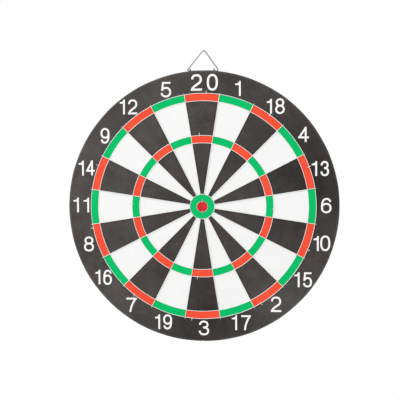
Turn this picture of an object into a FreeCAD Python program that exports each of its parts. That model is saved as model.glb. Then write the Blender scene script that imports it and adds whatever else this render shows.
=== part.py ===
import FreeCAD, Part
import math
import os
from FreeCAD import Placement, Rotation, Vector

# Round wall dartboard with a raised wire spider and a hinged wire hanging
# loop. Millimetres. The board hangs upright: +Z is up through the 20 field,
# +X is the thrower's right, and the face looks along -Y. The origin is the
# centre of the rear face, the plane that rests on the wall.

doc = FreeCAD.newDocument("Dartboard")

# ---------------------------------------------------------------- sizes
PARAMS = doc.addObject("Spreadsheet::Sheet", "Params")
SIZES = [
    # board body
    ("board_r", 153.0, "outer radius of the board over the edge band"),
    ("core_r", 152.5, "radius of the coiled paper core"),
    ("core_t", 14.2, "thickness of the coiled paper core"),
    ("skin_r", 150.4, "radius of the front and rear flocked skins"),
    ("skin_t", 0.4, "thickness of each flocked skin"),
    ("band_lip_r", 150.5, "inner radius of the edge band's folded lips"),
    ("band_round", 2.0, "outer corner radius of the edge band"),
    ("core_bevel", 1.2, "bevel on the core's edges, under the band"),
    # flocked colour fields
    ("field_t", 0.25, "thickness of the coloured fields"),
    ("field_angle", 17.9, "angle of one coloured field"),
    ("field_n", 10, "fields of one colour in a ring"),
    ("fields_turn", 18.0, "turn from the white fields to the black ones"),
    ("single_out_r0", 79.9, "outer single field, inner radius"),
    ("single_out_r1", 118.45, "outer single field, outer radius"),
    ("single_in_r0", 14.0, "inner single field, inner radius"),
    ("single_in_r1", 71.2, "inner single field, outer radius"),
    ("double_r0", 118.55, "double field, inner radius"),
    ("double_r1", 126.95, "double field, outer radius"),
    ("triple_r0", 71.3, "triple field, inner radius"),
    ("triple_r1", 79.75, "triple field, outer radius"),
    ("bull_out_r0", 6.15, "outer bull, inner radius"),
    ("bull_out_r1", 13.9, "outer bull, outer radius"),
    ("bull_in_r", 6.05, "inner bull radius"),
    # numerals
    ("numeral_t", 0.22, "thickness of the flocked numerals"),
    ("numeral_stroke", 2.06, "stroke width of the numerals"),
    ("numeral_stroke_20", 2.4, "stroke width of the larger 20"),
    ("numeral_inset", 0.1, "inset of each numeral in its box"),
    # wire spider
    ("wire_r", 0.36, "radius of the spider wire"),
    ("radial_dx", -0.15, "radial wires' sideways set against the fields"),
    ("radial_dz", -0.15, "radial wires' upward set against the fields"),
    ("bull_dx", -0.1, "bull wires' sideways set against the fields"),
    ("bull_dz", -0.3, "bull wires' upward set against the fields"),
    ("ring_y", 15.59, "depth of the ring wires' centre, from the rear face"),
    ("radial_y", 16.07, "depth of the radial wires' centre"),
    ("r_double_out", 127.0, "double ring, outer wire"),
    ("r_double_in", 118.5, "double ring, inner wire"),
    ("r_triple_out", 79.8, "triple ring, outer wire"),
    ("r_triple_in", 71.25, "triple ring, inner wire"),
    ("r_bull_out", 13.95, "outer bull wire"),
    ("r_bull_in", 6.1, "inner bull wire"),
    ("radial_r0", 13.65, "radial wire, inner end"),
    ("radial_len", 115.3, "radial wire, length"),
    ("radial_n", 20, "radial wires"),
    ("radial_turn", 9.0, "turn of the first radial wire"),
    # hold-down staples of the spider
    ("staple_wire_r", 0.35, "radius of the spider staples' wire"),
    ("staple_bend_r", 0.75, "bend radius of the spider staples"),
    ("staple_span", 4.0, "leg spacing of a spider staple"),
    ("staple_crown_y", 16.25, "depth of the spider staples' crown centre"),
    ("staple_leg_y", 7.0, "depth of the spider staples' leg tips"),
    # hanger
    ("hang_y", 5.2, "depth of the hanger's plane, from the rear face"),
    ("hang_dx", 0.45, "sideways set of the hanger"),
    ("bail_wire_r", 0.75, "radius of the hanging loop's wire"),
    ("bail_bar_z", 154.05, "height of the loop's bottom bar centre"),
    ("bail_apex_z", 177.1, "height of the loop's apex wire centre"),
    ("bail_half_w", 18.65, "half width of the loop between its unbent corners"),
    ("bail_lean", 1.28, "sideways set of the apex, from the middle of the bar"),
    ("bail_corner_r", 1.6, "bend radius at the loop's lower corners"),
    ("bail_apex_r", 2.1, "bend radius at the loop's apex"),
    ("bail_gap", 0.6, "butt gap in the middle of the bottom bar"),
    ("hook_wire_r", 0.6, "radius of the hanger staples' wire"),
    ("hook_x", 13.75, "sideways distance of the hanger staples"),
    ("hook_span", 4.4, "leg spacing of a hanger staple"),
    ("hook_bend_r", 1.2, "bend radius of a hanger staple"),
    ("hook_top_z", 156.1, "height of the hanger staple's crown centre"),
    ("hook_tip_z", 141.5, "height of the hanger staple's leg tips"),
]
for i, (alias, value, note) in enumerate(SIZES):
    cell = "B%d" % (i + 2)
    PARAMS.set("A%d" % (i + 2), note)
    PARAMS.set(cell, repr(value))
    PARAMS.setAlias(cell, alias)
doc.recompute()


def size(alias):
    return float(getattr(PARAMS, alias))


def bind(obj, **pairs):
    for prop, expression in pairs.items():
        obj.setExpression(prop.replace("__", "."), expression)


def origin_feature(body, role):
    for item in body.Origin.OriginFeatures:
        if item.Role == role:
            return item
    raise RuntimeError("no origin feature " + role)


def new_body(label):
    body = doc.addObject("PartDesign::Body", label)
    body.Label = label
    return body


def new_sketch(body, role, name):
    sketch = body.newObject("Sketcher::SketchObject", name)
    sketch.AttachmentSupport = [(origin_feature(body, role), "")]
    sketch.MapMode = "FlatFace"
    return sketch


LINE = Part.LineSegment
PIECES = []


def rectangle(sketch, x0, x1, y1, e_x0, e_x1, e_y1):
    """Rectangle from x0 to x1 that starts on the X axis and ends at y1 below
    it, each edge held by a named size."""
    p = [Vector(x0, 0, 0), Vector(x1, 0, 0), Vector(x1, -y1, 0), Vector(x0, -y1, 0)]
    for a, b in ((0, 1), (1, 2), (2, 3), (3, 0)):
        sketch.addGeometry(LINE(p[a], p[b]), False)
    con = sketch.addConstraint
    from Sketcher import Constraint as C
    for a, b in ((0, 1), (1, 2), (2, 3), (3, 0)):
        con(C("Coincident", a, 2, b, 1))
    con(C("Horizontal", 0))
    con(C("Horizontal", 2))
    con(C("Vertical", 1))
    con(C("Vertical", 3))
    con(C("PointOnObject", 0, 1, -1))
    n = con(C("DistanceX", -1, 1, 0, 1, x0))
    sketch.setExpression("Constraints[%d]" % n, e_x0)
    n = con(C("DistanceX", -1, 1, 0, 2, x1))
    sketch.setExpression("Constraints[%d]" % n, e_x1)
    n = con(C("DistanceY", 1, 2, 1, 1, y1))
    sketch.setExpression("Constraints[%d]" % n, e_y1)


def disc(label, r_out, thick, depth, r_in=None):
    """Disc or flat ring about the board's axis: circles padded towards -Y."""
    from Sketcher import Constraint as C
    body = new_body(label)
    sketch = new_sketch(body, "XZ_Plane", label + "_outline")
    radii = [r_out] + ([r_in] if r_in else [])
    for g, alias in enumerate(radii):
        sketch.addGeometry(Part.Circle(Vector(0, 0, 0), Vector(0, 0, 1), size(alias)), False)
        sketch.addConstraint(C("Coincident", g, 3, -1, 1))
        n = sketch.addConstraint(C("Radius", g, size(alias)))
        sketch.setExpression("Constraints[%d]" % n, "Params." + alias)
    pad = body.newObject("PartDesign::Pad", label + "_pad")
    pad.Profile = sketch
    pad.Length = size(thick)
    pad.setExpression("Length", "Params." + thick)
    body.setExpression("Placement.Base.y", depth)
    PIECES.append(body)
    return body


def fields(label, r0, r1, turned):
    """Ten annular fields of one colour: one profile turned through a field's
    angle about the board's axis, then patterned round it."""
    body = new_body(label)
    sketch = new_sketch(body, "XY_Plane", label + "_profile")
    rectangle(sketch, size(r0), size(r1), size("field_t"),
              "Params." + r0, "Params." + r1, "Params.field_t")
    turn = body.newObject("PartDesign::Revolution", label + "_turn")
    turn.Profile = sketch
    turn.ReferenceAxis = (origin_feature(body, "Y_Axis"), [""])
    turn.Angle = size("field_angle")
    turn.Midplane = True
    turn.setExpression("Angle", "Params.field_angle")
    doc.recompute()
    ring = body.newObject("PartDesign::PolarPattern", label + "_ring")
    ring.Originals = [turn]
    ring.Axis = (origin_feature(body, "Y_Axis"), [""])
    ring.Angle = 360.0
    ring.Occurrences = int(size("field_n"))
    ring.setExpression("Occurrences", "Params.field_n")
    body.Tip = ring
    body.Placement = Placement(Vector(0, 0, 0), Rotation(Vector(0, 1, 0), size("fields_turn") if turned else 0.0))
    body.setExpression("Placement.Base.y", "-(2 * Params.skin_t + Params.core_t)")
    PIECES.append(body)
    return body


def wire_ring(label, alias, across="0", up="0"):
    """One ring of the spider, a closed round wire about the board's axis."""
    ring = doc.addObject("Part::Torus", label)
    ring.Label = label
    ring.Radius1 = size(alias)
    ring.Radius2 = size("wire_r")
    ring.Placement = Placement(Vector(0, 0, 0), Rotation(Vector(1, 0, 0), 90))
    bind(ring, Radius1="Params." + alias, Radius2="Params.wire_r",
         Placement__Base__x=across,
         Placement__Base__y="-Params.ring_y",
         Placement__Base__z=up)
    PIECES.append(ring)
    return ring


# ---------------------------------------------------------------- board body
FACE = "-(2 * Params.skin_t + Params.core_t)"


def profile(sketch, shapes, smooth, joined, level, upright):
    """Closed section from lines and arcs. smooth and joined list the pairs of
    ends that meet at a tangent or at a corner, level and upright the lines
    along the board's radius and along its axis."""
    from Sketcher import Constraint as C
    for geo in shapes:
        sketch.addGeometry(geo, False)
    for ends in smooth:
        sketch.addConstraint(C("Tangent", *ends))
    for ends in joined:
        sketch.addConstraint(C("Coincident", *ends))
    for g in level:
        sketch.addConstraint(C("Horizontal", g))
    for g in upright:
        sketch.addConstraint(C("Vertical", g))


def hold(sketch, kind, args, value, expression):
    from Sketcher import Constraint as C
    n = sketch.addConstraint(C(kind, *args, value))
    sketch.setExpression("Constraints[%d]" % n, expression)


def line(x0, y0, x1, y1):
    return LINE(Vector(x0, y0, 0), Vector(x1, y1, 0))


def quarter(cx, cy, r, start):
    """Quarter circle anticlockwise from start quarter turns."""
    return Part.ArcOfCircle(Part.Circle(Vector(cx, cy, 0), Vector(0, 0, 1), r),
                            start * math.pi / 2, (start + 1) * math.pi / 2)


def bevelled(sketch, first, second, e_size, value):
    """Hold a 45 degree edge from a point on the first line to one on the
    second."""
    hold(sketch, "DistanceX", first, value, e_size)
    hold(sketch, "DistanceY", second, value, e_size)


def paper_core():
    """Disc of coiled paper with its edges bevelled."""
    body = new_body("coiled_paper_core")
    sketch = new_sketch(body, "XY_Plane", "core_section")
    r, d, q = size("core_r"), size("core_t"), size("core_bevel")
    profile(sketch,
            [line(0, 0, r - q, 0), line(r - q, 0, r, -q), line(r, -q, r, -d + q),
             line(r, -d + q, r - q, -d), line(r - q, -d, 0, -d), line(0, -d, 0, 0)],
            smooth=[],
            joined=[(0, 2, 1, 1), (1, 2, 2, 1), (2, 2, 3, 1), (3, 2, 4, 1), (4, 2, 5, 1), (5, 2, 0, 1), (0, 1, -1, 1)],
            level=[0, 4], upright=[2, 5])
    hold(sketch, "DistanceX", (-1, 1, 2, 1), r, "Params.core_r")
    hold(sketch, "DistanceY", (4, 2, -1, 1), d, "Params.core_t")
    bevelled(sketch, (1, 1, 1, 2), (1, 2, 1, 1), "Params.core_bevel", q)
    bevelled(sketch, (3, 2, 3, 1), (3, 2, 3, 1), "Params.core_bevel", q)
    turn = body.newObject("PartDesign::Revolution", "core_turn")
    turn.Profile = sketch
    turn.ReferenceAxis = (origin_feature(body, "Y_Axis"), [""])
    turn.Angle = 360.0
    body.setExpression("Placement.Base.y", "-Params.skin_t")
    PIECES.append(body)


def edge_band():
    """Band round the rim with a short lip folded over each face: a thin C
    turned about the board's axis. Each outer corner is three equal flats on
    a round of band_round."""
    from Sketcher import Constraint as C
    body = new_body("edge_band")
    sketch = new_sketch(body, "XY_Plane", "edge_band_section")
    r1, rc, rl = size("board_r"), size("core_r"), size("band_lip_r")
    t, depth = size("skin_t"), 2 * size("skin_t") + size("core_t")
    rr, q = size("band_round"), size("core_bevel")
    round_pts = [(r1 - rr + rr * math.cos(math.radians(a)), rr * math.sin(math.radians(a)))
                 for a in (90, 60, 30, 0)]
    pts = ([(rl, 0)] + [(x, y - rr) for x, y in round_pts]
           + [(x, -y - depth + rr) for x, y in reversed(round_pts)]
           + [(rl, -depth), (rl, -depth + t), (rc - q, -depth + t), (rc, -depth + t + q),
              (rc, -t - q), (rc - q, -t), (rl, -t)])
    n = len(pts)
    profile(sketch,
            [line(*pts[i], *pts[(i + 1) % n]) for i in range(n)],
            smooth=[], joined=[(i, 2, (i + 1) % n, 1) for i in range(n)],
            level=[0, 8, 10, 14], upright=[4, 9, 12, 15])
    # the rounds that the flats lie on
    for arc, line_in, line_out, flats in ((n, 0, 4, (1, 2, 3)), (n + 1, 8, 4, (7, 6, 5))):
        y = -rr if arc == n else -depth + rr
        sketch.addGeometry(quarter(r1 - rr, y, rr, 0 if arc == n else 3), True)
        far, near = (2, 1) if arc == n else (1, 2)
        sketch.addConstraint(C("Tangent", line_in, 2 if arc == n else 1, arc, far))
        sketch.addConstraint(C("Tangent", line_out, 1 if arc == n else 2, arc, near))
        for g in flats[:2]:
            sketch.addConstraint(C("PointOnObject", g, 2 if arc == n else 1, arc))
        sketch.addConstraint(C("Equal", flats[0], flats[1]))
        sketch.addConstraint(C("Equal", flats[1], flats[2]))
    sketch.addConstraint(C("PointOnObject", 0, 1, -1))
    sketch.addConstraint(C("Equal", n, n + 1))
    hold(sketch, "DistanceX", (-1, 1, 0, 1), rl, "Params.band_lip_r")
    hold(sketch, "DistanceX", (-1, 1, 8, 2), rl, "Params.band_lip_r")
    hold(sketch, "DistanceX", (-1, 1, 4, 1), r1, "Params.board_r")
    hold(sketch, "DistanceX", (-1, 1, 12, 1), rc, "Params.core_r")
    hold(sketch, "Radius", (n,), rr, "Params.band_round")
    bevelled(sketch, (11, 1, 11, 2), (11, 1, 11, 2), "Params.core_bevel", q)
    bevelled(sketch, (13, 2, 13, 1), (13, 1, 13, 2), "Params.core_bevel", q)
    hold(sketch, "DistanceY", (8, 2, -1, 1), depth, "2 * Params.skin_t + Params.core_t")
    hold(sketch, "DistanceY", (9, 1, 9, 2), t, "Params.skin_t")
    hold(sketch, "DistanceY", (15, 1, -1, 1), t, "Params.skin_t")
    turn = body.newObject("PartDesign::Revolution", "edge_band_turn")
    turn.Profile = sketch
    turn.ReferenceAxis = (origin_feature(body, "Y_Axis"), [""])
    turn.Angle = 360.0
    PIECES.append(body)


disc("rear_cover", "skin_r", "skin_t", "0")
paper_core()
disc("front_flock", "skin_r", "skin_t", "-(Params.skin_t + Params.core_t)")
edge_band()

# ---------------------------------------------------------------- fields
fields("white_outer_singles", "single_out_r0", "single_out_r1", False)
fields("white_inner_singles", "single_in_r0", "single_in_r1", False)
fields("green_doubles", "double_r0", "double_r1", False)
fields("green_triples", "triple_r0", "triple_r1", False)
fields("red_doubles", "double_r0", "double_r1", True)
fields("red_triples", "triple_r0", "triple_r1", True)
disc("outer_bull", "bull_out_r1", "field_t", FACE, "bull_out_r0")
disc("inner_bull", "bull_in_r", "field_t", FACE)

# ---------------------------------------------------------------- wire spider
wire_ring("double_outer_wire", "r_double_out")
wire_ring("double_inner_wire", "r_double_in")
wire_ring("triple_outer_wire", "r_triple_out")
wire_ring("triple_inner_wire", "r_triple_in")
wire_ring("outer_bull_wire", "r_bull_out", "Params.bull_dx", "Params.bull_dz")
wire_ring("inner_bull_wire", "r_bull_in", "Params.bull_dx", "Params.bull_dz")


def radial_wires():
    """Twenty straight wires laid over the rings, from the outer bull wire to
    just past the outer double wire."""
    from Sketcher import Constraint as C
    body = new_body("radial_wires")
    sketch = new_sketch(body, "YZ_Plane", "radial_section")
    sketch.AttachmentOffset = Placement(Vector(0, 0, size("radial_r0")), Rotation())
    sketch.setExpression("AttachmentOffset.Base.z", "Params.radial_r0")
    sketch.addGeometry(Part.Circle(Vector(0, 0, 0), Vector(0, 0, 1), size("wire_r")), False)
    sketch.addConstraint(C("Coincident", 0, 3, -1, 1))
    n = sketch.addConstraint(C("Radius", 0, size("wire_r")))
    sketch.setExpression("Constraints[%d]" % n, "Params.wire_r")
    pad = body.newObject("PartDesign::Pad", "radial_pad")
    pad.Profile = sketch
    pad.Length = size("radial_len")
    pad.setExpression("Length", "Params.radial_len")
    doc.recompute()
    ring = body.newObject("PartDesign::PolarPattern", "radial_ring")
    ring.Originals = [pad]
    ring.Axis = (origin_feature(body, "Y_Axis"), [""])
    ring.Angle = 360.0
    ring.Occurrences = int(size("radial_n"))
    ring.setExpression("Occurrences", "Params.radial_n")
    body.Tip = ring
    body.Placement = Placement(Vector(0, 0, 0), Rotation(Vector(0, 1, 0), size("radial_turn")))
    bind(body, Placement__Base__x="Params.radial_dx",
         Placement__Base__y="-Params.radial_y",
         Placement__Base__z="Params.radial_dz")
    PIECES.append(body)


radial_wires()


# ---------------------------------------------------------------- bent wires
def bent_wire(points, bends, radius):
    """Round wire along straight runs joined by circular bends. points are the
    corners, bends the bend radius at each inner corner."""
    edges = []
    start = points[0]
    for i in range(1, len(points) - 1):
        p, c, n = points[i - 1], points[i], points[i + 1]
        u = (p - c).normalize()
        w = (n - c).normalize()
        half = math.acos(max(-1.0, min(1.0, u.dot(w)))) / 2
        cut = bends[i - 1] / math.tan(half)
        a = c + u * cut
        b = c + w * cut
        mid_dir = (u + w).normalize()
        centre = c + mid_dir * (bends[i - 1] / math.sin(half))
        m = centre - mid_dir * bends[i - 1]
        edges.append(Part.makeLine(start, a))
        edges.append(Part.Arc(a, m, b).toShape())
        start = b
    edges.append(Part.makeLine(start, points[-1]))
    spine = Part.Wire(edges)
    along = (points[1] - points[0]).normalize()
    ring = Part.Wire([Part.makeCircle(radius, points[0], along)])
    solid = spine.makePipeShell([ring], True, True, 0)
    if solid.ShapeType != "Solid":
        solid = Part.Solid(Part.Shell(solid.Faces))
    if solid.Volume < 0:
        solid.reverse()
    return solid


def feature(label, solids, base=None):
    obj = doc.addObject("Part::Feature", label)
    obj.Label = label
    obj.Shape = solids[0] if len(solids) == 1 else Part.makeCompound(solids)
    obj.Placement = Placement(base or Vector(0, 0, 0), Rotation())
    PIECES.append(obj)
    return obj


def face_staples(label, wire_alias, spots, across=0.0, up=0.0):
    """Hold-down staples over one ring wire. Each spot is the clockwise angle
    from the top, how far the inner leg stands inside the wire, and the
    crown's skew from the radial line, in degrees."""
    r_wire, span = size(wire_alias), size("staple_span")
    bend, wr = size("staple_bend_r"), size("staple_wire_r")
    crown, tip = size("staple_crown_y"), size("staple_leg_y")
    solids = []
    for clock, inside, skew in spots:
        a = math.radians(clock)
        radial = Vector(math.sin(a), 0, math.cos(a))
        s = math.radians(clock + skew)
        run = Vector(math.sin(s), 0, math.cos(s))
        p0 = radial * r_wire - run * inside
        p1 = p0 + run * span
        solids.append(bent_wire([Vector(p0.x, -tip, p0.z), Vector(p0.x, -crown, p0.z),
                                 Vector(p1.x, -crown, p1.z), Vector(p1.x, -tip, p1.z)],
                                [bend, bend], wr))
    feature(label, solids, Vector(across, 0, up))


face_staples("double_wire_staples", "r_double_out",
             [(2.1, 1.2, 0), (36.7, 2.0, 4), (69.8, 2.0, -6), (112.5, 1.2, 12), (149.0, 1.2, -8),
              (185.5, 1.2, 3), (217.9, 1.4, -20), (258.8, 1.2, 16), (291.7, 1.2, -5), (324.6, 1.2, 10)])
face_staples("triple_wire_staples", "r_triple_out",
             [(-2.2, 1.2, 2), (92.2, 1.2, -6), (184.1, 1.2, 8), (272.1, 1.2, -4)])
face_staples("bull_wire_staples", "r_bull_in",
             [(0.0, 1.8, 0), (180.0, 1.8, 0)], size("bull_dx"), size("bull_dz"))


# ---------------------------------------------------------------- hanger
def hanging_loop():
    """Triangular loop of wire. Its bottom bar lies along the rim at
    mid-thickness and turns inside the two hanger staples."""
    z0, z1 = size("bail_bar_z"), size("bail_apex_z")
    rc, ra = size("bail_corner_r"), size("bail_apex_r")
    w, g, lean = size("bail_half_w"), size("bail_gap") / 2, size("bail_lean")
    # virtual corners of the centreline: the apex bend stops at z1
    rise = z1 - z0
    apex = rise
    for _ in range(30):
        half = (math.pi - math.atan2(apex, w + lean) - math.atan2(apex, w - lean)) / 2
        apex = rise + ra / math.sin(half) - ra
    pts = [Vector(g, 0, 0), Vector(w, 0, 0), Vector(lean, 0, apex), Vector(-w, 0, 0), Vector(-g, 0, 0)]
    loop = bent_wire(pts, [rc, ra, rc], size("bail_wire_r"))
    feature("hanger_bail", [loop], Vector(size("hang_dx"), -size("hang_y"), z0))


def hanger_staples():
    """Two staples driven into the rim over the loop's bottom bar, their
    crowns running front to back."""
    half, top, tip = size("hook_span") / 2, size("hook_top_z"), size("hook_tip_z")
    bend, wr, x = size("hook_bend_r"), size("hook_wire_r"), size("hook_x")
    solids = []
    for sx, lean in ((-x, 0.25), (x, 0.0)):
        solids.append(bent_wire([Vector(sx, -half, tip), Vector(sx + lean, -half, top),
                                 Vector(sx + lean, half, top), Vector(sx, half, tip)],
                                [bend, bend], wr))
    feature("hanger_staples", solids, Vector(size("hang_dx") - 0.8, -size("hang_y"), 0))


hanging_loop()
hanger_staples()


# ---------------------------------------------------------------- numerals
def bezier(p0, p1, p2, p3, n=14):
    out = []
    for i in range(n + 1):
        k = i / n
        a, b, c, d = (1 - k) ** 3, 3 * (1 - k) ** 2 * k, 3 * (1 - k) * k * k, k ** 3
        out.append((a * p0[0] + b * p1[0] + c * p2[0] + d * p3[0],
                    a * p0[1] + b * p1[1] + c * p2[1] + d * p3[1]))
    return out


def chain(*runs):
    out = []
    for run in runs:
        for p in run:
            if not out or math.hypot(p[0] - out[-1][0], p[1] - out[-1][1]) > 1e-6:
                out.append(p)
    return out


def oval(cx, cy, rx, ry, power=2.25, n=32):
    out = []
    for i in range(n):
        a = 2 * math.pi * i / n
        c, s = math.cos(a), math.sin(a)
        out.append((cx + rx * math.copysign(abs(c) ** (2 / power), c),
                    cy + ry * math.copysign(abs(s) ** (2 / power), s)))
    return out


# Each numeral: strokes in a unit box (centreline box, 0..1 both ways).
# "open" is a bent stroke with square ends, "ring" a closed stroke, "bar" a
# straight one; a bar's last two numbers lengthen its ends by half strokes.
GLYPHS = {
    "0": [("ring", oval(0.5, 0.5, 0.5, 0.5, 2.35, 40))],
    "2": [("open", chain(bezier((0.02, 0.715), (0.02, 0.90), (0.20, 1.0), (0.50, 1.0)),
                         bezier((0.50, 1.0), (0.80, 1.0), (0.985, 0.89), (0.985, 0.705)),
                         bezier((0.985, 0.705), (0.985, 0.50), (0.70, 0.425), (0.42, 0.30)),
                         bezier((0.42, 0.30), (0.16, 0.185), (0.03, 0.11), (0.0, -0.06)))),
          ("bar", (0.0, 0.0), (1.0, 0.0), 1, 1)],
    "3": [("open", chain(bezier((0.03, 0.735), (0.05, 0.91), (0.22, 1.0), (0.49, 1.0)),
                         bezier((0.49, 1.0), (0.76, 1.0), (0.93, 0.90), (0.93, 0.755)),
                         bezier((0.93, 0.755), (0.93, 0.60), (0.74, 0.535), (0.40, 0.535)))),
          ("open", chain(bezier((0.40, 0.535), (0.80, 0.535), (1.0, 0.44), (1.0, 0.27)),
                         bezier((1.0, 0.27), (1.0, 0.09), (0.80, 0.0), (0.49, 0.0)),
                         bezier((0.49, 0.0), (0.20, 0.0), (0.02, 0.10), (0.0, 0.285))))],
    "4": [("bar", (0.74, 0.0), (0.74, 1.0), 1, 1),
          ("bar", (0.0, 0.275), (1.0, 0.275), 1, 1),
          ("bar", (0.02, 0.285), (0.72, 0.985), 0, 0)],
    "5": [("bar", (0.155, 1.0), (0.92, 1.0), 1, 1),
          ("bar", (0.165, 1.0), (0.055, 0.50), 1, 1),
          ("open", chain(bezier((0.055, 0.485), (0.18, 0.60), (0.34, 0.635), (0.50, 0.635)),
                         bezier((0.50, 0.635), (0.80, 0.635), (1.0, 0.52), (1.0, 0.325)),
                         bezier((1.0, 0.325), (1.0, 0.12), (0.80, 0.0), (0.49, 0.0)),
                         bezier((0.49, 0.0), (0.22, 0.0), (0.03, 0.09), (0.0, 0.255))))],
    "6": [("ring", oval(0.5, 0.318, 0.5, 0.318, 2.2, 36)),
          ("open", chain(bezier((0.965, 0.775), (0.93, 0.93), (0.77, 1.0), (0.54, 1.0)),
                         bezier((0.54, 1.0), (0.16, 1.0), (0.0, 0.79), (0.0, 0.44)),
                         bezier((0.0, 0.44), (0.0, 0.37), (0.01, 0.31), (0.03, 0.26))))],
    "7": [("bar", (0.0, 1.0), (1.0, 1.0), 1, 1),
          ("open", chain(bezier((0.985, 0.995), (0.66, 0.72), (0.40, 0.34), (0.345, -0.07))))],
    "8": [("ring", oval(0.5, 0.765, 0.435, 0.235, 2.1, 32)),
          ("ring", oval(0.5, 0.266, 0.5, 0.266, 2.15, 32))],
}
GLYPHS["9"] = [(kind, [(1 - x, 1 - y) for x, y in pts]) for kind, pts in GLYPHS["6"]]


def side(points, offset, closed):
    """Line beside a centreline, at a constant distance."""
    n = len(points)
    out = []
    for i in range(n):
        a = points[i - 1] if (i > 0 or closed) else points[i]
        b = points[(i + 1) % n] if (i < n - 1 or closed) else points[i]
        dx, dy = b[0] - a[0], b[1] - a[1]
        k = math.hypot(dx, dy)
        out.append(Vector(points[i][0] - dy / k * offset, 0, points[i][1] + dx / k * offset))
    return out


def spline(points, closed=False):
    curve = Part.BSplineCurve()
    curve.interpolate(Points=points, PeriodicFlag=closed)
    return curve.toShape()


def slab(wire_or_wires, thick):
    wires = wire_or_wires if isinstance(wire_or_wires, list) else [wire_or_wires]
    face = Part.Face(wires[0])
    for inner in wires[1:]:
        face = face.cut(Part.Face(inner)).Faces[0]
    solid = face.extrude(Vector(0, -thick, 0))
    return solid.Solids[0] if solid.Solids else solid


def digit(char, x0, x1, z0, z1, stroke, thick):
    """One numeral filling the box x0..x1, z0..z1."""
    if char == "1":
        w, h = x1 - x0, z1 - z0
        stem = stroke * 1.0
        top = [(w - stem * 0.78, h), (w - stem * 1.05, h * 0.915), (w - stem * 1.45, h * 0.868), (0.0, h * 0.835)]
        flag = spline([Vector(x0 + x, 0, z0 + z) for x, z in top])
        p = [Vector(x0 + x, 0, z0 + z) for x, z in
             [(0, h * 0.835), (0, h * 0.725), (w - stem, h * 0.725), (w - stem, 0), (w, 0), (w, h), (w - stem * 0.78, h)]]
        edges = [Part.makeLine(p[i], p[i + 1]) for i in range(len(p) - 1)] + [flag]
        return slab(Part.Wire(Part.__sortEdges__(edges)), thick)
    half = stroke / 2
    cw, ch = (x1 - x0) - stroke, (z1 - z0) - stroke

    def place(pt):
        return (x0 + half + pt[0] * cw, z0 + half + pt[1] * ch)

    parts = []
    for item in GLYPHS[char]:
        if item[0] == "ring":
            pts = [place(p) for p in item[1]]
            outer, inner = side(pts, -half, True), side(pts, half, True)
            parts.append(slab([Part.Wire([spline(outer, True)]), Part.Wire([spline(inner, True)])], thick))
        elif item[0] == "open":
            pts = [place(p) for p in item[1]]
            left, right = side(pts, half, False), side(pts, -half, False)
            edges = [spline(left), Part.makeLine(left[-1], right[-1]), spline(right), Part.makeLine(right[0], left[0])]
            parts.append(slab(Part.Wire(Part.__sortEdges__(edges)), thick))
        else:
            a, b = Vector(place(item[1])[0], 0, place(item[1])[1]), Vector(place(item[2])[0], 0, place(item[2])[1])
            u = (b - a).normalize()
            a, b = a - u * half * item[3], b + u * half * item[4]
            n = Vector(-u.z, 0, u.x) * half
            parts.append(slab(Part.makePolygon([a + n, b + n, b - n, a - n, a + n]), thick))
    out = parts[0]
    if len(parts) > 1:
        out = parts[0].multiFuse(parts[1:])
        # trim what runs outside the numeral's box, such as a stroke's end
        box = Part.makeBox(x1 - x0, thick + 2, z1 - z0, Vector(x0, -thick - 1, z0))
        out = out.common(box).removeSplitter()
    if len(out.Solids) != 1:
        raise RuntimeError("numeral %s has %d solids" % (char, len(out.Solids)))
    return out.Solids[0]


# numeral, left, right, bottom, top
NUMERALS = [
    ("2", -12.4, 0.2, 129.9, 148.6), ("0", 5.4, 18.0, 129.8, 148.6),
    ("1", 37.2, 43.6, 123.3, 140.4),
    ("1", 72.4, 78.2, 103.2, 119.9), ("8", 81.7, 92.3, 102.7, 120.3),
    ("4", 107.0, 119.0, 71.3, 88.2),
    ("1", 121.9, 128.0, 33.4, 50.1), ("3", 131.5, 141.1, 33.2, 50.2),
    ("6", 132.1, 143.8, -8.1, 9.0),
    ("1", 123.8, 129.8, -50.2, -33.4), ("0", 131.2, 142.5, -50.3, -32.8),
    ("1", 102.6, 108.6, -90.8, -73.8), ("5", 112.2, 122.3, -91.0, -73.9),
    ("2", 76.4, 88.2, -118.9, -101.4),
    ("1", 32.6, 38.6, -139.8, -122.8), ("7", 43.2, 54.2, -139.8, -122.7),
    ("3", -4.8, 7.0, -146.1, -129.2),
    ("1", -54.5, -48.6, -139.6, -122.6), ("9", -45.3, -35.0, -139.8, -122.5),
    ("7", -87.4, -75.2, -120.4, -103.8),
    ("1", -122.8, -117.0, -88.9, -72.0), ("6", -113.8, -103.7, -89.4, -72.0),
    ("8", -135.8, -124.2, -51.3, -34.0),
    ("1", -147.6, -141.2, -6.5, 10.5), ("1", -135.8, -129.4, -6.6, 10.4),
    ("1", -141.3, -135.1, 35.4, 52.6), ("4", -132.7, -122.6, 35.6, 52.8),
    ("9", -115.7, -105.3, 71.5, 89.4),
    ("1", -93.4, -87.4, 104.4, 121.3), ("2", -84.0, -73.2, 104.3, 121.3),
    ("5", -46.7, -34.7, 122.9, 140.4),
]


def numerals():
    """Flocked numerals round the black band, all upright."""
    thick = size("numeral_t")
    solids = []
    g = size("numeral_inset")
    for i, (char, x0, x1, z0, z1) in enumerate(NUMERALS):
        stroke = size("numeral_stroke_20") if i < 2 else size("numeral_stroke")
        solids.append(digit(char, x0 + g, x1 - g, z0 + g, z1 - g, stroke, thick))
    depth = 2 * size("skin_t") + size("core_t")
    feature("numerals", solids, Vector(0, -depth, 0))


numerals()
doc.recompute()

# ---------------------------------------------------------------- check, write
for obj in doc.Objects:
    state = [s for s in obj.State if s in ("Invalid", "Error")]
    if state:
        raise RuntimeError("%s is %s" % (obj.Name, state))
for obj in PIECES:
    shape = obj.Shape
    if shape.isNull() or not shape.isValid() or not shape.Solids:
        raise RuntimeError("bad shape: " + obj.Label)
    if shape.Volume <= 0:
        raise RuntimeError("inside out: " + obj.Label)

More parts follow.
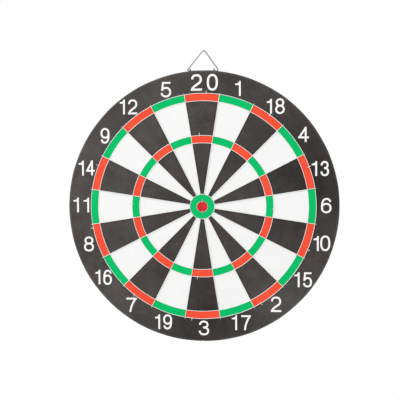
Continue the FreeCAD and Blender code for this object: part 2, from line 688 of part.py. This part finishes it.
os.makedirs("parts", exist_ok=True)
for obj in PIECES:
    obj.Shape.exportStep("parts/%s.step" % obj.Label)
    b = obj.Shape.optimalBoundingBox(True, False)
    print("%-22s %2d solids  x %8.2f %8.2f  y %7.2f %7.2f  z %8.2f %8.2f" % (
        obj.Label, len(obj.Shape.Solids), b.XMin, b.XMax, b.YMin, b.YMax, b.ZMin, b.ZMax))
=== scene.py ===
import math
import random

import bpy
from mathutils import Euler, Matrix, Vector


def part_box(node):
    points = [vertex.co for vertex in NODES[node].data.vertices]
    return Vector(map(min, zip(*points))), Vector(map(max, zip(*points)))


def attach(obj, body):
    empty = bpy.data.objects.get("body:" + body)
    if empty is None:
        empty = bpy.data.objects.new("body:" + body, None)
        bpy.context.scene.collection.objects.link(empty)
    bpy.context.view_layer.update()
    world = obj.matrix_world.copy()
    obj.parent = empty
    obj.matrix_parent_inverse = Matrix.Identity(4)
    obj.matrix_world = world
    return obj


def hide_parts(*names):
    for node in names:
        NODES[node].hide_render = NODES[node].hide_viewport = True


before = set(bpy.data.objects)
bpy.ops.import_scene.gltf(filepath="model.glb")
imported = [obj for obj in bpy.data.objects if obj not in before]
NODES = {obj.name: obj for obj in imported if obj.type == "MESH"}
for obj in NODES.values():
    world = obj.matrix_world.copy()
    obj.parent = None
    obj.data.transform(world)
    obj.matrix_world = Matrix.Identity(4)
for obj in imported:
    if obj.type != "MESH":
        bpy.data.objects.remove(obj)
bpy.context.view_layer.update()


# ---------------------------------------------------------------- colours
def lin(r, g, b):
    out = []
    for v in (r, g, b):
        v /= 255.0
        out.append(v / 12.92 if v <= 0.04045 else ((v + 0.055) / 1.055) ** 2.4)
    return (out[0], out[1], out[2], 1.0)


# ---------------------------------------------------------------- materials
class Graph:
    """Small helper to wire up one node material."""

    def __init__(self, name):
        self.mat = bpy.data.materials.new(name)
        self.mat.use_nodes = True
        self.tree = self.mat.node_tree
        self.tree.nodes.clear()
        self.out = self.tree.nodes.new("ShaderNodeOutputMaterial")
        self.bsdf = self.tree.nodes.new("ShaderNodeBsdfPrincipled")
        self.tree.links.new(self.bsdf.outputs[0], self.out.inputs[0])
        self.coord = self.tree.nodes.new("ShaderNodeTexCoord")

    def new(self, kind, **props):
        n = self.tree.nodes.new(kind)
        for k, v in props.items():
            setattr(n, k, v)
        return n

    def link(self, a, b):
        self.tree.links.new(a, b)

    def place(self, scale=(1, 1, 1), rot=(0, 0, 0)):
        m = self.new("ShaderNodeMapping")
        m.inputs["Scale"].default_value = scale
        m.inputs["Rotation"].default_value = rot
        self.link(self.coord.outputs["Object"], m.inputs["Vector"])
        return m.outputs["Vector"]

    def noise(self, scale, detail=3.0, rough=0.55, distort=0.0, vector=None):
        n = self.new("ShaderNodeTexNoise")
        n.inputs["Scale"].default_value = scale
        n.inputs["Detail"].default_value = detail
        n.inputs["Roughness"].default_value = rough
        n.inputs["Distortion"].default_value = distort
        self.link(vector if vector is not None else self.coord.outputs["Object"], n.inputs["Vector"])
        return n.outputs["Fac"]

    def ramp(self, fac, stops, interp="LINEAR"):
        r = self.new("ShaderNodeValToRGB")
        r.color_ramp.interpolation = interp
        els = r.color_ramp.elements
        while len(els) > len(stops):
            els.remove(els[-1])
        while len(els) < len(stops):
            els.new(0.5)
        for e, (pos, col) in zip(els, stops):
            e.position = pos
            e.color = col
        self.link(fac, r.inputs["Fac"])
        return r.outputs["Color"]

    def maths(self, op, a, b=None, clamp=False):
        m = self.new("ShaderNodeMath", operation=op)
        m.use_clamp = clamp
        for i, v in enumerate((a, b)):
            if v is None:
                continue
            if isinstance(v, (int, float)):
                m.inputs[i].default_value = v
            else:
                self.link(v, m.inputs[i])
        return m.outputs[0]

    def mix(self, kind, fac, a, b):
        m = self.new("ShaderNodeMix", data_type="RGBA", blend_type=kind)
        for sock, v in ((m.inputs[0], fac), (m.inputs[6], a), (m.inputs[7], b)):
            if isinstance(v, (int, float, tuple)):
                sock.default_value = v
            else:
                self.link(v, sock)
        return m.outputs[2]

    def bump(self, height, strength, distance, under=None):
        b = self.new("ShaderNodeBump")
        b.inputs["Strength"].default_value = strength
        b.inputs["Distance"].default_value = distance
        self.link(height, b.inputs["Height"])
        if under is not None:
            self.link(under, b.inputs["Normal"])
        return b.outputs["Normal"]


def scaled(c, k):
    return (min(1.0, c[0] * k), min(1.0, c[1] * k), min(1.0, c[2] * k), 1.0)


def flock(name, base, low, high, cloud=70.0, mottle=0.22, grain_amt=0.12, depth=0.00010, patches=(), scuff=0.0):
    """Short dense flock: soft clouds of colour, finer mottling, a fibre grain
    and a rough fuzzy surface. patches are (x, z, radius, amount) areas in
    metres where the colour is made lighter or darker as painted light and painted shade."""
    g = Graph(name)
    big = g.noise(cloud * 0.28, 2.0, 0.5, 0.3)
    mid = g.noise(cloud, 4.0, 0.6, 0.5)
    fine = g.noise(cloud * 6.0, 4.0, 0.65)
    grain = g.noise(2400.0, 2.0, 0.7)
    total = None
    for field, amount in ((big, mottle * 1.2), (mid, mottle), (fine, mottle * 0.8), (grain, grain_amt)):
        part = g.maths("MULTIPLY", g.maths("SUBTRACT", field, 0.5), amount * 2.0)
        total = part if total is None else g.maths("ADD", total, part)
    # painted light and shade: soft round areas lightened or darkened in the base colour
    if patches:
        sep = g.new("ShaderNodeSeparateXYZ")
        g.link(g.coord.outputs["Object"], sep.inputs[0])
        for x, z, radius, amount in patches:
            dx = g.maths("SUBTRACT", sep.outputs["X"], x)
            dz = g.maths("SUBTRACT", sep.outputs["Z"], z)
            d2 = g.maths("ADD", g.maths("MULTIPLY", dx, dx), g.maths("MULTIPLY", dz, dz))
            fall = g.maths("EXPONENT", g.maths("MULTIPLY", d2, -1.0 / (radius * radius)))
            total = g.maths("ADD", total, g.maths("MULTIPLY", fall, amount))
    if scuff:
        # faint rubbed streaks where the flock lies flat
        for turn, size in ((0.7, 26.0), (-0.5, 38.0)):
            rub = g.noise(size, 5.0, 0.7, 1.2, g.place((1.0, 1.0, 3.4), (0.0, turn, 0.0)))
            line = g.ramp(rub, [(0.575, (0, 0, 0, 1)), (0.61, (1, 1, 1, 1)), (0.645, (0, 0, 0, 1))])
            where = g.ramp(g.noise(11.0, 2.0, 0.5, 0.4, g.place((1.0, 1.0, 1.0), (0.3, turn, 0.2))),
                           [(0.48, (0, 0, 0, 1)), (0.62, (1, 1, 1, 1))])
            total = g.maths("ADD", total, g.maths("MULTIPLY", g.maths("MULTIPLY", line, where), scuff))
    fac = g.maths("ADD", total, 0.5, clamp=True)
    col = g.ramp(fac, [(0.0, low), (0.5, base), (1.0, high)])
    g.link(col, g.bsdf.inputs["Base Color"])
    g.bsdf.inputs["Roughness"].default_value = 0.92
    g.bsdf.inputs["Specular IOR Level"].default_value = 0.10
    g.bsdf.inputs["Sheen Weight"].default_value = 0.02
    g.bsdf.inputs["Sheen Roughness"].default_value = 0.45
    n1 = g.bump(grain, 0.55, depth)
    g.link(g.bump(fine, 0.35, depth * 2.0, n1), g.bsdf.inputs["Normal"])
    return g.mat


def steel(name, colour, rough, streak=0.1, dull=None):
    """Drawn wire: metal with fine drawing marks, a little plating variation
    and small dull patches."""
    g = Graph(name)
    cloud = g.noise(420.0, 4.0, 0.6)
    spot = g.noise(1500.0, 3.0, 0.65)
    dim = dull or scaled(colour, 0.80)
    col = g.ramp(cloud, [(0.30, dim), (0.52, colour), (0.75, scaled(colour, 1.06))])
    g.link(col, g.bsdf.inputs["Base Color"])
    g.bsdf.inputs["Metallic"].default_value = 1.0
    r = g.maths("MULTIPLY_ADD", spot, streak)
    r.node.inputs[2].default_value = rough - streak * 0.5
    g.link(r, g.bsdf.inputs["Roughness"])
    g.link(g.bump(spot, 0.25, 0.00003), g.bsdf.inputs["Normal"])
    return g.mat


# painted light and shade over the black face and the edge band: soft areas made lighter towards the left and top-left
# and darker towards the right and the bottom, standing in for light from the upper left and a broad sheen
PAINTED_LIGHT_PATCHES = ((-0.135, 0.030, 0.065, 0.20), (-0.085, -0.095, 0.060, 0.12), (-0.050, 0.130, 0.060, 0.12),
        (0.120, 0.020, 0.055, -0.30), (0.000, -0.130, 0.055, -0.30), (0.075, -0.100, 0.045, 0.12),
        (0.110, 0.070, 0.050, -0.12))
BLACK = flock("black_flock", lin(71, 67.5, 65.5), lin(44, 41, 39.5), lin(99, 95, 92.5), cloud=110.0, patches=PAINTED_LIGHT_PATCHES, scuff=0.16)
# the band flock is lighter than the face flock: a painted highlight for light caught on the rounded rim
BAND = flock("band_flock", lin(82, 79, 77), lin(54, 51, 49.5), lin(112, 108, 105), cloud=110.0, patches=PAINTED_LIGHT_PATCHES, scuff=0.16)
BACK = flock("rear_flock", lin(62, 59.5, 58), lin(46, 43.5, 42), lin(80, 77, 75))
WHITE = flock("white_flock", lin(248, 248, 247.5), lin(243, 243, 242), lin(253, 253, 252.5), mottle=0.30)
GREEN = flock("green_flock", lin(5, 195, 108), lin(2, 176, 95), lin(20, 208, 121), mottle=0.16)
RED = flock("red_flock", lin(249, 85, 58), lin(228, 64, 44), lin(255, 104, 75), mottle=0.16)
CRIMSON = flock("crimson_flock", lin(216, 45, 51), lin(190, 27, 33), lin(236, 66, 68), cloud=150.0)
NUMERAL = flock("numeral_flock", lin(254, 254, 253.5), lin(248, 248, 247), lin(255, 255, 255), mottle=0.2)
SPIDER = steel("spider_steel", (0.985, 0.985, 0.975, 1), 0.50, dull=(0.90, 0.90, 0.885, 1))
STAPLE = steel("staple_steel", (0.985, 0.985, 0.975, 1), 0.44, dull=(0.90, 0.90, 0.885, 1))
DULL = steel("bull_steel", (0.70, 0.70, 0.66, 1), 0.45, dull=(0.50, 0.50, 0.47, 1))
BAIL = steel("bail_steel", (0.44, 0.44, 0.435, 1), 0.42)
DARK = Graph("dark_staple")
_c = DARK.noise(500.0, 4.0, 0.6)
DARK.link(DARK.ramp(_c, [(0.3, (0.008, 0.008, 0.009, 1)), (0.6, (0.016, 0.016, 0.017, 1)), (0.8, (0.035, 0.033, 0.031, 1))]),
          DARK.bsdf.inputs["Base Color"])
DARK.bsdf.inputs["Metallic"].default_value = 0.0
DARK.bsdf.inputs["Roughness"].default_value = 0.55
DARK.link(DARK.bump(_c, 0.2, 0.00003), DARK.bsdf.inputs["Normal"])
DARK = DARK.mat

LOOK = {
    "rear_cover": BACK, "front_flock": BLACK, "edge_band": BAND, "coiled_paper_core": BAND,
    "white_outer_singles": WHITE, "white_inner_singles": WHITE,
    "green_doubles": GREEN, "green_triples": GREEN, "outer_bull": GREEN,
    "red_doubles": RED, "red_triples": RED, "inner_bull": CRIMSON, "numerals": NUMERAL,
    "double_outer_wire": SPIDER, "double_inner_wire": SPIDER, "triple_outer_wire": SPIDER,
    "triple_inner_wire": SPIDER, "outer_bull_wire": SPIDER, "inner_bull_wire": SPIDER,
    "radial_wires": SPIDER, "double_wire_staples": STAPLE, "triple_wire_staples": STAPLE,
    "bull_wire_staples": DULL, "hanger_bail": BAIL, "hanger_staples": DARK,
}
for name, obj in NODES.items():
    mat = LOOK[name]
    if obj.material_slots:
        for s in obj.material_slots:
            s.material = mat
    else:
        obj.data.materials.append(mat)

# ---------------------------------------------------------------- pieces
rng = random.Random(20)
BOARD = "board"


def piece(name, verts, faces, mat, nodes, smooth=True):
    mesh = bpy.data.meshes.new(name)
    mesh.from_pydata([tuple(v) for v in verts], [], faces)
    mesh.materials.append(mat)
    for p in mesh.polygons:
        p.use_smooth = smooth
    mesh.validate()
    obj = bpy.data.objects.new(name, mesh)
    bpy.context.scene.collection.objects.link(obj)
    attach(obj, BOARD)
    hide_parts(*nodes)
    return obj


def tube(verts, faces, path, radii, closed=False, seg=12, cap=True):
    """Round tube along a list of points, added to verts and faces."""
    base, n = len(verts), len(path)
    side = Vector((0, 1, 0))
    for i, p in enumerate(path):
        a = path[i - 1] if (i > 0 or closed) else path[i]
        b = path[(i + 1) % n] if (i < n - 1 or closed) else path[i]
        along = (b - a).normalized()
        u = (side - along * side.dot(along)).normalized()
        v = along.cross(u)
        r = radii[i] if isinstance(radii, list) else radii
        for k in range(seg):
            t = 2 * math.pi * k / seg
            verts.append(p + u * (r * math.cos(t)) + v * (r * math.sin(t)))
    rings = n if closed else n - 1
    for i in range(rings):
        r0, r1 = base + i * seg, base + ((i + 1) % n) * seg
        for k in range(seg):
            m = (k + 1) % seg
            faces.append((r0 + k, r1 + k, r1 + m, r0 + m))
    if not closed and cap:
        for ring, flip in ((0, False), (n - 1, True)):
            r0 = base + ring * seg
            loop = [r0 + k for k in range(seg)]
            faces.append(tuple(reversed(loop)) if flip else tuple(loop))


def nugget(verts, faces, centre, along, size_a, size_b, size_h, seg=10, rings=5):
    """A spot weld: a small flattened bead over two crossing wires."""
    base = len(verts)
    across = Vector((0, 1, 0)).cross(along).normalized()
    for j in range(1, rings):
        phi = math.pi * j / rings
        for k in range(seg):
            t = 2 * math.pi * k / seg
            wob = 1.0 + 0.10 * math.sin(3 * t + centre.x * 900)
            verts.append(centre + along * (size_a * math.sin(phi) * math.cos(t) * wob)
                         + across * (size_b * math.sin(phi) * math.sin(t) * wob)
                         + Vector((0, -size_h * math.cos(phi), 0)))
    top, bottom = len(verts), len(verts) + 1
    verts.append(centre + Vector((0, -size_h, 0)))
    verts.append(centre + Vector((0, size_h, 0)))
    for j in range(rings - 2):
        for k in range(seg):
            m = (k + 1) % seg
            faces.append((base + j * seg + k, base + j * seg + m, base + (j + 1) * seg + m, base + (j + 1) * seg + k))
    last = base + (rings - 2) * seg
    for k in range(seg):
        m = (k + 1) % seg
        faces.append((top, base + m, base + k))
        faces.append((bottom, last + k, last + m))


def centre_of(node):
    lo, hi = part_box(node)
    return (lo + hi) / 2, (hi - lo) / 2


WIRE = centre_of("double_outer_wire")[1].y
RINGS = ["double_outer_wire", "double_inner_wire", "triple_outer_wire", "triple_inner_wire",
         "outer_bull_wire", "inner_bull_wire"]
ring_data = {}
for name in RINGS:
    c, half = centre_of(name)
    ring_data[name] = (c, half.x - WIRE)
    radius = half.x - WIRE
    count = 480 if radius > 0.05 else 144
    waves = [(rng.choice((3, 5, 7, 11)), rng.uniform(0, 6.28), rng.uniform(0.2, 0.6)) for _ in range(4)]
    amp = 0.00010 if radius > 0.05 else 0.00004
    verts, faces, path = [], [], []
    for i in range(count):
        t = 2 * math.pi * i / count
        r = radius + amp * sum(w * math.sin(n * t + ph) for n, ph, w in waves) / 2
        path.append(Vector((c.x + r * math.sin(t), c.y, c.z + r * math.cos(t))))
    inner = name == "inner_bull_wire"
    tube(verts, faces, path, WIRE * (0.78 if inner else 1.0), closed=True)
    piece("spider_" + name, verts, faces, DULL if inner else SPIDER, [name])

rad_c, rad_half = centre_of("radial_wires")
r_in = ring_data["outer_bull_wire"][1] - 0.0003
r_out = ring_data["double_outer_wire"][1] + 0.0018
verts, faces = [], []
wverts, wfaces = [], []
for k in range(20):
    a = math.radians(9 + 18 * k)
    d = Vector((math.sin(a), 0, math.cos(a)))
    across = Vector((0, 1, 0)).cross(d)
    bow, bow2 = rng.uniform(-0.00012, 0.00012), rng.uniform(-0.00006, 0.00006)
    path, radii = [], []
    count = 56
    for i in range(count + 1):
        f = i / count
        r = r_in + (r_out - r_in) * f
        off = bow * math.sin(math.pi * f) + bow2 * math.sin(2 * math.pi * f)
        path.append(Vector((rad_c.x, rad_c.y, rad_c.z)) + d * r + across * off)
        radii.append(WIRE)
    # eased, cut ends
    for end, step in ((0, -1), (count, 1)):
        radii[end] = WIRE * 0.80
    tube(verts, faces, path, radii)
    for name in RINGS[:5]:
        c, r = ring_data[name]
        y = (c.y + rad_c.y) / 2
        hit = Vector((rad_c.x, y, rad_c.z)) + d * r
        g = rng.uniform(0.92, 1.12)
        nugget(wverts, wfaces, hit, d, 0.00050 * g, 0.00043 * g, 0.00050)
piece("spider_radial_wires", verts, faces, SPIDER, ["radial_wires"])
welds = bpy.data.meshes.new("spider_welds")
welds.from_pydata([tuple(v) for v in wverts], [], wfaces)
welds.materials.append(STAPLE)
for p in welds.polygons:
    p.use_smooth = True
weld_obj = bpy.data.objects.new("spider_welds", welds)
bpy.context.scene.collection.objects.link(weld_obj)
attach(weld_obj, BOARD)


def edge_band():
    """Flocked band with rounded edges, its strip butted at the bottom, and a
    slight waviness along the rim."""
    lo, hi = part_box("edge_band")
    r1, depth = hi.x, -lo.y
    lip, rr, t = 0.15045, 0.0020, 0.0004
    prof = [(lip, -t), (lip, 0.0)]
    prof += [(r1 - rr + rr * math.cos(math.radians(x)), -rr + rr * math.sin(math.radians(x))) for x in range(90, -1, -10)]
    prof += [(r1, -depth * f) for f in (0.25, 0.4, 0.5, 0.6, 0.75)]
    prof += [(r1 - rr + rr * math.cos(math.radians(x)), -depth + rr + rr * math.sin(math.radians(x))) for x in range(0, -91, -10)]
    prof += [(lip, -depth), (lip, -depth + t)]
    seg = 540
    verts, faces = [], []
    for i in range(seg):
        a = 2 * math.pi * i / seg
        seam = math.exp(-((a - math.pi) / 0.0045) ** 2)
        wave = 0.00006 * math.sin(9 * a + 1.0) + 0.00005 * math.sin(23 * a) - 0.00030 * seam
        for r, y in prof:
            rr_ = r + (wave if r > lip + 0.0004 else 0.0)
            verts.append(Vector((rr_ * math.sin(a), y, rr_ * math.cos(a))))
    m = len(prof)
    for i in range(seg):
        j = (i + 1) % seg
        for k in range(m - 1):
            faces.append((i * m + k, j * m + k, j * m + k + 1, i * m + k + 1))
        faces.append((i * m + m - 1, j * m + m - 1, j * m, i * m))
    return piece("flocked_edge_band", verts, faces, BAND, ["edge_band"])


def rear_skin():
    """Rear flocked skin that follows the wound paper strip under it: a fine
    spiral relief, raised less than a tenth of a millimetre."""
    lo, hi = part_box("rear_cover")
    radius, thick = hi.x, -lo.y
    pitch, step, seg = 0.0024, 0.0004, 180
    rows = int(radius / step)
    verts, faces = [], []
    for j in range(1, rows + 1):
        r = radius * j / rows
        for i in range(seg):
            a = 2 * math.pi * i / seg
            ridge = 0.5 - 0.5 * math.cos(2 * math.pi * (r / pitch - i / seg))
            y = -0.00009 * (1.0 - ridge) if j < rows else -0.00012
            verts.append(Vector((r * math.sin(a), y, r * math.cos(a))))
    centre = len(verts)
    verts.append(Vector((0, -0.00004, 0)))
    for j in range(rows - 1):
        for i in range(seg):
            k = (i + 1) % seg
            faces.append((j * seg + i, (j + 1) * seg + i, (j + 1) * seg + k, j * seg + k))
    for i in range(seg):
        faces.append((centre, i, (i + 1) % seg))
    low = len(verts)
    for i in range(seg):
        a = 2 * math.pi * i / seg
        verts.append(Vector((radius * math.sin(a), -thick, radius * math.cos(a))))
    top = (rows - 1) * seg
    for i in range(seg):
        k = (i + 1) % seg
        faces.append((top + i, low + i, low + k, top + k))
    verts.append(Vector((0, -thick, 0)))
    for i in range(seg):
        faces.append((len(verts) - 1, low + (i + 1) % seg, low + i))
    return piece("rear_flock_skin", verts, faces, BACK, ["rear_cover"])


edge_band()
rear_skin()

# ---------------------------------------------------------------- floor
def floor():
    """Pale floor well below the hanging board: a wide shallow disc with a
    soft edge."""
    rings, seg = 10, 64
    verts, faces = [(0.0, 0.0, 0.0)], []
    for r in range(1, rings + 1):
        rad = 0.42 * r / rings
        drop = -0.004 if r == rings else 0.0
        for k in range(seg):
            a = 2 * math.pi * k / seg
            verts.append((rad * math.cos(a), rad * math.sin(a), drop))
    for k in range(seg):
        faces.append((0, 1 + k, 1 + (k + 1) % seg))
    for r in range(rings - 1):
        b0, b1 = 1 + r * seg, 1 + (r + 1) * seg
        for k in range(seg):
            n = (k + 1) % seg
            faces.append((b0 + k, b1 + k, b1 + n, b0 + n))
    mesh = bpy.data.meshes.new("floor")
    mesh.from_pydata(verts, [], faces)
    obj = bpy.data.objects.new("floor", mesh)
    obj.location = (0, 0, -0.42)
    bpy.context.scene.collection.objects.link(obj)
    g = Graph("floor_paint")
    g.link(g.ramp(g.noise(9.0, 3.0), [(0.3, (0.91, 0.91, 0.905, 1)), (0.7, (0.95, 0.95, 0.945, 1))]), g.bsdf.inputs["Base Color"])
    g.bsdf.inputs["Roughness"].default_value = 0.8
    mesh.materials.append(g.mat)
    for p in mesh.polygons:
        p.use_smooth = True


floor()

# ---------------------------------------------------------------- light
world = bpy.data.worlds.new("studio")
bpy.context.scene.world = world
world.use_nodes = True
wt = world.node_tree
wt.nodes.clear()
w_out = wt.nodes.new("ShaderNodeOutputWorld")
w_mix = wt.nodes.new("ShaderNodeMixShader")
w_cam = wt.nodes.new("ShaderNodeBackground")
w_fill = wt.nodes.new("ShaderNodeBackground")
w_path = wt.nodes.new("ShaderNodeLightPath")
w_coord = wt.nodes.new("ShaderNodeTexCoord")
w_dot = wt.nodes.new("ShaderNodeVectorMath")
w_dot.operation = "DOT_PRODUCT"
w_ramp = wt.nodes.new("ShaderNodeValToRGB")
w_map = wt.nodes.new("ShaderNodeMapRange")
w_cam.inputs[0].default_value = (1, 1, 1, 1)
w_cam.inputs[1].default_value = 1.0
# a bright studio in front of the board and above it, dimmer behind
w_dot.inputs[1].default_value = (-0.10, -0.93, 0.35)
wt.links.new(w_coord.outputs["Generated"], w_dot.inputs[0])
wt.links.new(w_dot.outputs["Value"], w_map.inputs["Value"])
w_map.inputs["From Min"].default_value = -1.0
w_map.inputs["From Max"].default_value = 1.0
wt.links.new(w_map.outputs[0], w_ramp.inputs[0])
els = w_ramp.color_ramp.elements
els[0].position, els[0].color = 0.0, (0.50, 0.50, 0.50, 1)
els[1].position, els[1].color = 1.0, (1.0, 1.0, 1.0, 1)
e = els.new(0.42)
e.color = (0.62, 0.62, 0.62, 1)
e = els.new(0.68)
e.color = (0.96, 0.96, 0.96, 1)
wt.links.new(w_ramp.outputs[0], w_fill.inputs[0])
w_fill.inputs[1].default_value = 0.90
wt.links.new(w_path.outputs["Is Camera Ray"], w_mix.inputs[0])
wt.links.new(w_fill.outputs[0], w_mix.inputs[1])
wt.links.new(w_cam.outputs[0], w_mix.inputs[2])
wt.links.new(w_mix.outputs[0], w_out.inputs[0])


def softbox(name, where, look_at, size_x, size_y, power):
    light = bpy.data.lights.new(name, "AREA")
    light.shape = "RECTANGLE"
    light.size, light.size_y = size_x, size_y
    light.energy = power
    obj = bpy.data.objects.new(name, light)
    obj.location = where
    obj.rotation_euler = (Vector(look_at) - Vector(where)).to_track_quat("-Z", "Y").to_euler()
    bpy.context.scene.collection.objects.link(obj)
    return obj


softbox("key", (-0.95, -1.35, 1.05), (0, 0, 0), 0.90, 0.90, 7.4)

# ---------------------------------------------------------------- camera
cam_data = bpy.data.cameras.new("camera")
cam_data.lens = 50.0
cam_data.sensor_width = 36.0
cam_data.sensor_fit = "HORIZONTAL"
cam_data.clip_start = 0.01
cam_data.clip_end = 20.0
cam = bpy.data.objects.new("camera", cam_data)
cam.location = (0.0343659, -0.6401723, 0.0184558)
cam.rotation_mode = "XYZ"
cam.rotation_euler = Euler((1.55274928, 0.00428615, 0.05916714), "XYZ")
bpy.context.scene.collection.objects.link(cam)
bpy.context.scene.camera = cam
bpy.context.scene.view_settings.view_transform = "Standard"
bpy.context.scene.view_settings.look = "None"
